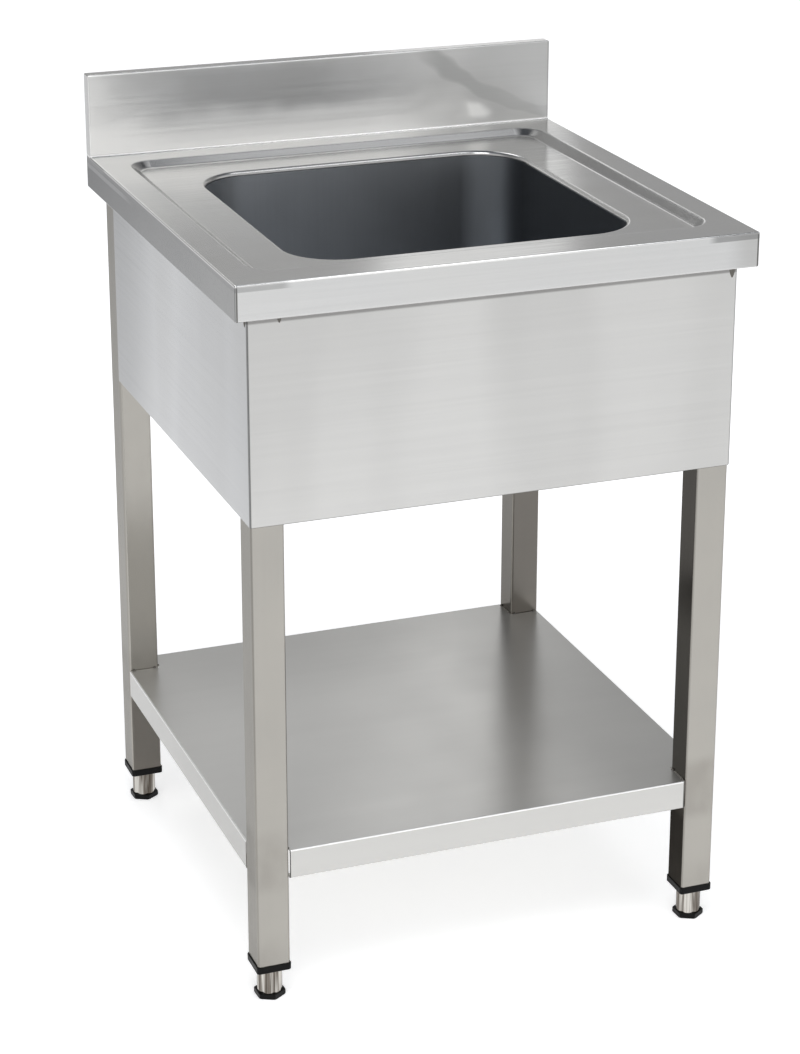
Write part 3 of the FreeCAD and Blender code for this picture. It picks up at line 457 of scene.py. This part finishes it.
def finish_sheet(name, bm, thick, up_test, material, replaced):
    """Gives the skin its thickness, marks sharp edges and weights the normals."""
    bmesh.ops.remove_doubles(bm, verts=bm.verts, dist=1e-7)
    bmesh.ops.recalc_face_normals(bm, faces=bm.faces)
    bm.faces.ensure_lookup_table()
    if not up_test(bm):
        bmesh.ops.reverse_faces(bm, faces=bm.faces)
    skin = bpy.data.meshes.new(name + "_skin")
    bm.to_mesh(skin)
    bm.free()
    o = bpy.data.objects.new(name, skin)
    scene.collection.objects.link(o)
    s = o.modifiers.new("thickness", "SOLIDIFY")
    s.thickness = thick
    s.offset = -1.0
    s.use_even_offset = True
    s.use_quality_normals = True
    made = bpy.data.meshes.new_from_object(o.evaluated_get(bpy.context.evaluated_depsgraph_get()))
    o.modifiers.clear()
    o.data = made
    bpy.data.meshes.remove(skin)
    made.name = name
    b2 = bmesh.new()
    b2.from_mesh(made)
    for f in b2.faces:
        f.smooth = True
    for e in b2.edges:
        e.smooth = not (len(e.link_faces) == 2 and e.calc_face_angle(0.0) > math.radians(38))
    b2.to_mesh(made)
    b2.free()
    w = o.modifiers.new("normals", "WEIGHTED_NORMAL")
    w.mode = "FACE_AREA"
    w.weight = 100
    w.keep_sharp = True
    made.materials.clear()
    made.materials.append(material)
    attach(o, "sink")
    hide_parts(replaced)
    return o


X0, X1, Y0, Y1, YS = -300.0, 300.0, -300.0, 300.0, 282.0
ZE, ZT, ZU = 810.0, 850.0, 950.0
END_R = 1.6
BEND = 8


def profile(d):
    """Side profile of the worktop moved in by d: rounded corners, plus the edges of the openings."""
    pts = [(Y0 + d, ZE + d), (Y0 + d, ZT - d), (YS + d, ZT - d), (YS + d, ZU - d), (Y1 - d, ZU - d), (Y1 - d, ZE + d)]
    rad = [2.5 - d, 2.5 - d, 2.0 + d, 2.0 - d, 2.0 - d, 2.0 - d]
    out = []
    tags = []
    for i, b in enumerate(pts):
        a, c = pts[i - 1], pts[(i + 1) % 6]
        u = ((a[0] > b[0]) - (a[0] < b[0]), (a[1] > b[1]) - (a[1] < b[1]))
        w = ((c[0] > b[0]) - (c[0] < b[0]), (c[1] > b[1]) - (c[1] < b[1]))
        r = rad[i]
        o = (b[0] + (u[0] + w[0]) * r, b[1] + (u[1] + w[1]) * r)
        for k in range(BEND + 1):
            f = math.radians(90.0 * k / BEND)
            s, cc = math.sin(f), math.cos(f)
            out.append((o[0] - w[0] * r * cc - u[0] * r * s, o[1] - w[1] * r * cc - u[1] * r * s))
            tags.append(("corner", i) if k < BEND else ("after", i))
        if i == 4:
            out.append((Y1 - d, 938.0))
            tags.append(("rear_open", 0))
        if i == 5:
            out.append((-283.0, ZE + d))
            tags.append(("front_lip", 0))
    return out, tags


def build_worktop():
    bm = bmesh.new()
    # from the cap at x = 300 (moved in 1.6) to the tube at 298.4
    half = [(X1 - END_R * (1 - math.cos(math.radians(15.0 * k))), END_R * (1 - math.sin(math.radians(15.0 * k)))) for k in range(7)]
    half += [(288.0, 0.0), (283.0, 0.0)]
    stations = [(-x, d) for x, d in half] + [(x, d) for x, d in reversed(half)]
    rows = []
    tags = None
    for x, d in stations:
        pts, tags = profile(d)
        rows.append(put(bm, [(x, y, z) for y, z in pts]))
    n = len(tags)
    for s in range(len(stations) - 1):
        xm = abs(stations[s][0] + stations[s + 1][0]) / 2
        for j in range(n):
            k = (j + 1) % n
            kind = tags[j]
            if xm < 298.0 and kind == ("after", 1):
                continue                      # the flat top is filled below
            if kind == ("rear_open", 0) and xm < 288.0:
                continue
            if kind == ("corner", 5) and xm < 288.0:
                continue
            if kind == ("after", 5) and xm < 283.0:
                continue
            bm.faces.new((rows[s][j], rows[s][k], rows[s + 1][k], rows[s + 1][j]))
    bm.faces.new(rows[0])
    bm.faces.new(list(reversed(rows[-1])))
    # recess and rolled edge, from the rim inwards and down
    rings = []
    th = math.atan2(8.0, 11.0)

    def rec(g, z):
        return ring(0.0, -3.5, 266.0 + g, 251.5 + g, 30.0 + g, z)

    for k in range(9):
        b = th * k / 8
        rings.append(rec(2.6 - 8.0 * math.sin(b), 842.0 + 8.0 * math.cos(b)))
    for k in range(9):
        b = th * (1 - k / 8)
        rings.append(rec(-13.6 + 8.0 * math.sin(b), 850.0 - 8.0 * math.cos(b)))
    for k in range(11):
        b = math.radians(90.0 - 9.0 * k)
        o = 5.0 * (1 - math.cos(b))
        rings.append(ring(0.0, -16.0, 200.0 + o, 200.0 + o, 60.0 + o, 837.0 + 5.0 * math.sin(b)))
    rings.append(ring(0.0, -16.0, 200.0, 200.0, 60.0, 836.5))
    loops = [put(bm, r) for r in rings]
    for a, b in zip(loops, loops[1:]):
        bridge(bm, a, b)
    # flat rim between the folded edges and the recess
    ja = tags.index(("after", 1))
    jb = (ja + 1) % n
    inner = [i for i, (x, d) in enumerate(stations) if abs(x) < 298.5]
    outer = [rows[i][ja] for i in inner] + [rows[i][jb] for i in reversed(inner)]
    edges = []
    for loop in (outer, loops[0]):
        for i in range(len(loop)):
            pair = (loop[i], loop[(i + 1) % len(loop)])
            e = bm.edges.get(pair) or bm.edges.new(pair)
            edges.append(e)
    bmesh.ops.triangle_fill(bm, use_beauty=True, use_dissolve=False, edges=edges)

    def up(b):
        b.faces.ensure_lookup_table()
        best = max((f for f in b.faces if abs(f.calc_center_median().z - 0.85) < 1e-5), key=lambda f: f.calc_area())
        return best.normal.z > 0

    return finish_sheet("worktop_sheet", bm, 0.0012, up, M["top"], "worktop")


def build_bowl():
    bm = bmesh.new()
    rings = [ring(0.0, -16.0, 200.0, 200.0, 60.0, z) for z in (836.5, 790.0, 740.0, 690.0, 650.0, 632.0)]
    for k in range(1, 13):
        f = math.radians(7.5 * k)
        o = 40.0 * (1 - math.cos(f))
        rings.append(ring(0.0, -16.0, 200.0 - o, 200.0 - o, 60.0 - o, 592.0 + 40.0 * (1 - math.sin(f))))
    base = rings[-1]

    def circle(r, z):
        out = []
        for x, y, _ in base:
            k = r / math.hypot(x, y + 16.0)
            out.append((x * k, -16.0 + (y + 16.0) * k, z))
        return out

    rings += [circle(140.0, 592.0), circle(100.0, 590.4615), circle(62.0, 589.0), circle(45.0, 589.0)]
    loops = [put(bm, r) for r in rings]
    for a, b in zip(loops, loops[1:]):
        bridge(bm, a, b)

    def up(b):
        f = min(b.faces, key=lambda q: q.calc_center_median().z)
        return f.normal.z > 0

    return finish_sheet("bowl_sheet", bm, 0.0012, up, M["bowl"], "bowl")


build_worktop()
build_bowl()

# ----------------------------------------------------------------- floor, light
floor_mesh = bpy.data.meshes.new("floor")
bm = bmesh.new()
S = 60.0
vs = [bm.verts.new(c) for c in ((-S, -S, -0.0004), (S, -S, -0.0004), (S, S, -0.0004), (-S, S, -0.0004))]
bm.faces.new(vs)
bm.to_mesh(floor_mesh)
bm.free()
floor = bpy.data.objects.new("floor", floor_mesh)
scene.collection.objects.link(floor)
m, t = new_material("floor")
out = node(t, "ShaderNodeOutputMaterial")
p = node(t, "ShaderNodeBsdfPrincipled")
p.inputs["Base Color"].default_value = (0.86, 0.86, 0.86, 1)
p.inputs["Roughness"].default_value = 0.7
p.inputs["Specular IOR Level"].default_value = 0.1
p.inputs["Emission Color"].default_value = (1, 1, 1, 1)
fx, fy, fz = split(t, coords(t))
# the floor glows by its own emission and carries painted shade: pale everywhere, a little less so at the left and
# falling off softly at the left rear
cx_ = math_node(t, "ADD", fx, 1.09949)
cy_ = math_node(t, "ADD", fy, 2.9107)
across = math_node(t, "SUBTRACT", math_node(t, "MULTIPLY", cy_, 0.3511), math_node(t, "MULTIPLY", cx_, 0.9363))
along = math_node(t, "ADD", math_node(t, "MULTIPLY", cx_, 0.3513), math_node(t, "MULTIPLY", cy_, 0.9363))
aside = remap(t, math_node(t, "DIVIDE", across, math_node(t, "MAXIMUM", along, 0.5)), 0.165, 0.33, 0.0, 1.0, True)


far = math_node(t, "SQRT", math_node(t, "ADD", math_node(t, "MULTIPLY", fx, fx), math_node(t, "MULTIPLY", fy, fy)))
toward = math_node(t, "DIVIDE", math_node(t, "ADD", math_node(t, "MULTIPLY", fx, -0.48), math_node(t, "MULTIPLY", fy, 0.877)),
                   math_node(t, "MAXIMUM", far, 0.01))
sector = math_node(t, "MULTIPLY", remap(t, toward, 0.66, 0.90, 0.0, 1.0, True), remap(t, far, 2.05, 3.6, 0.0, 0.34, True))
floor_painted_shade = math_node(t, "MULTIPLY", math_node(t, "MAXIMUM", sector, 0.25), aside)
open_floor = remap(t, fy, 0.2, 1.6, 0.47, 0.64, True)
t.links.new(math_node(t, "MULTIPLY", open_floor, remap(t, floor_painted_shade, 0.0, 1.0, 1.0, 0.04)), p.inputs["Emission Strength"])
t.links.new(mix_color(t, floor_painted_shade, (0.86, 0.86, 0.86), (0.20, 0.20, 0.20)), p.inputs["Base Color"])
t.links.new(p.outputs[0], out.inputs["Surface"])
floor_mesh.materials.append(m)

world = bpy.data.worlds.new("studio")
scene.world = world
world.use_nodes = True
t = world.node_tree
t.nodes.clear()
out = node(t, "ShaderNodeOutputWorld")
bg = node(t, "ShaderNodeBackground")
tc = node(t, "ShaderNodeTexCoord")
wx, wy, wz = split(t, tc.outputs["Generated"])


def ramp(tree, value, stops):
    n = node(tree, "ShaderNodeValToRGB")
    cr = n.color_ramp
    cr.interpolation = "EASE"
    while len(cr.elements) < len(stops):
        cr.elements.new(0.5)
    for e, (pos, v) in zip(cr.elements, stops):
        e.position = pos
        cool = max(0.0, min(1.0, (pos - 0.5) * 2))
        e.color = (v * (1 - 0.08 * cool), v, v * (1 + 0.14 * cool), 1)
    tree.links.new(value, n.inputs["Fac"])
    return n.outputs["Color"]


rear = ramp(t, wz, [(0.0, 0.80), (0.09, 0.66), (0.16, 0.44), (0.24, 0.39), (0.34, 0.50), (0.50, 0.42), (0.75, 0.22), (1.0, 0.17)])
ahead = ramp(t, wz, [(0.0, 1.15), (0.12, 1.15), (0.28, 1.30), (0.48, 1.1), (0.72, 0.75), (0.90, 0.30), (1.0, 0.19)])
facing = remap(t, wy, -0.35, 0.15, 1.0, 0.0, True)
slant = math_node(t, "DIVIDE", wx, math_node(t, "MAXIMUM", wy, 0.1))
lift = math_node(t, "MULTIPLY", remap(t, slant, 0.445, 0.385, 0.0, 0.50, True), remap(t, slant, 0.25, 0.33, 0.35, 1.0, True))
lift = math_node(t, "MULTIPLY", lift, remap(t, wz, 0.335, 0.405, 0.0, 1.0, True))
lifted = math_node(t, "ADD", lift, 1.0)
boost = node(t, "ShaderNodeVectorMath")
boost.operation = "SCALE"
t.links.new(rear, boost.inputs[0])
t.links.new(lifted, boost.inputs["Scale"])
t.links.new(mix_color(t, facing, boost.outputs[0], ahead), bg.inputs["Color"])
bg.inputs["Strength"].default_value = 1.0
t.links.new(bg.outputs[0], out.inputs["Surface"])


def area(name, loc, look, size, power, color=(1, 1, 1), size_y=None, seen=True):
    d = bpy.data.lights.new(name, "AREA")
    d.shape = "RECTANGLE"
    d.size = size
    d.size_y = size_y or size
    d.energy = power
    d.color = color
    o = bpy.data.objects.new(name, d)
    o.location = loc
    o.rotation_euler = (Vector(look) - Vector(loc)).to_track_quat("-Z", "Y").to_euler()
    o.visible_camera = seen
    scene.collection.objects.link(o)
    return o


area("key", (-0.8, -1.5, 3.3), (0, -0.3, 0.3), 1.5, 34)
area("strip_over_front", (0.9, -0.95, 3.3), (0.1, -0.2, 0.5), 1.5, 9, size_y=0.6)
area("overhead", (0.9, 0.2, 3.3), (0.3, 0.1, 0.5), 1.3, 2.6, size_y=0.8)
area("from_behind", (-0.1, 1.9, 3.0), (0, -0.1, 0.7), 0.9, 11)
area("panel_behind", (1.1, 2.5, 1.70), (0.1, 0.0, 0.6), 0.42, 0.75, size_y=1.0, seen=False)

# --------------------------------------------------------------------- camera
cam_data = bpy.data.cameras.new("camera")
cam = bpy.data.objects.new("camera", cam_data)
scene.collection.objects.link(cam)
R = Vector((0.936327, -0.351129, 0.000689))
U = Vector((0.115208, 0.309068, 0.944036))
F = Vector((0.331691, 0.883847, -0.329842))
mw = Matrix(((R.x, U.x, -F.x, -1.09949), (R.y, U.y, -F.y, -2.91070), (R.z, U.z, -F.z, 1.65618), (0, 0, 0, 1)))
cam.matrix_world = mw
cam_data.sensor_width = 36.0
cam_data.sensor_fit = "AUTO"
cam_data.lens = 95.1289
cam_data.shift_x = 0.0
cam_data.shift_y = -0.10
cam_data.clip_end = 200.0
scene.camera = cam

scene.cycles.max_bounces = 14
scene.cycles.glossy_bounces = 9
scene.cycles.diffuse_bounces = 3

scene.view_settings.view_transform = "Standard"
scene.view_settings.look = "None"
scene.view_settings.exposure = 0.0
